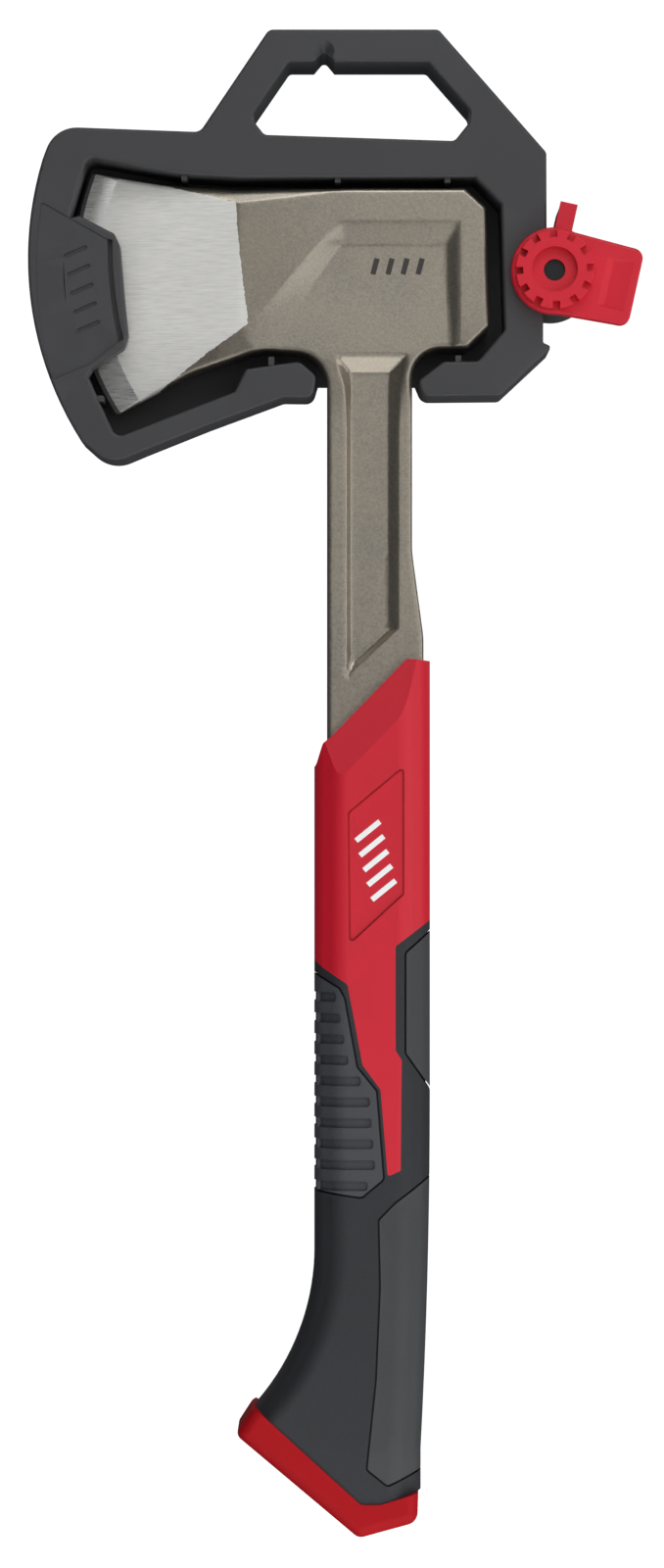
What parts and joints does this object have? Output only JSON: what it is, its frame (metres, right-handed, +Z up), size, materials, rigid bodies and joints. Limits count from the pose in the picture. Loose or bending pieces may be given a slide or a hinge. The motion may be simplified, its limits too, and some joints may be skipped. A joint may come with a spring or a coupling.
{
  "type": "hatchet in carry sheath",
  "caption": "One-piece forged hatchet with a rubber grip, held in a hard open-front carry sheath with a hang notch, an edge tab and a turning lock lever.",
  "frame": {"origin": "top of the V-shaped hang notch in the carry bar, on the hatchet's middle plane", "axes": "+X from the cutting edge towards the poll, +Z up along the handle towards the carry bar, front face towards -Y"},
  "size_m": [0.1709, 0.0332, 0.4196],
  "materials": {
    "forging": "bronze-grey paint, blade ground bright",
    "damper": "matt",
    "red_nylon": "fine satin",
    "grip_rubber": "soft matt",
    "sheath_plastic": "fine moulded texture",
    "lever_red": "satin",
    "black_steel": "black oxide"
  },
  "bodies": {
    "sheath": {"sheath_front_frame": "sheath_plastic", "sheath_back_plate": "sheath_plastic", "back_screws": "black_steel"},
    "hatchet": {"forged_head_and_tang": "forging", "tang_damper": "damper", "handle_core": "red_nylon", "grip_overmould": "grip_rubber", "front_rib_pad": "grip_rubber", "upper_back_pad": "grip_rubber", "lower_back_pad": "grip_rubber", "butt_cap": "red_nylon"},
    "lever": {"lock_lever": "lever_red", "pivot_screw": "black_steel", "lever_washer": "black_steel"}
  },
  "joints": [
    {"name": "lever_turn", "type": "hinge", "parent": "sheath", "child": "lever", "pos_m": [0.0639, 0, -0.0609], "axis": [0, -1, 0], "range_deg": [-167, 9]},
    {"name": "head_tilt", "type": "hinge", "parent": "sheath", "child": "hatchet", "pos_m": [-0.0555, -0.006, -0.0665], "axis": [0, 0, -1], "range_deg": [0, 35]}
  ]
}
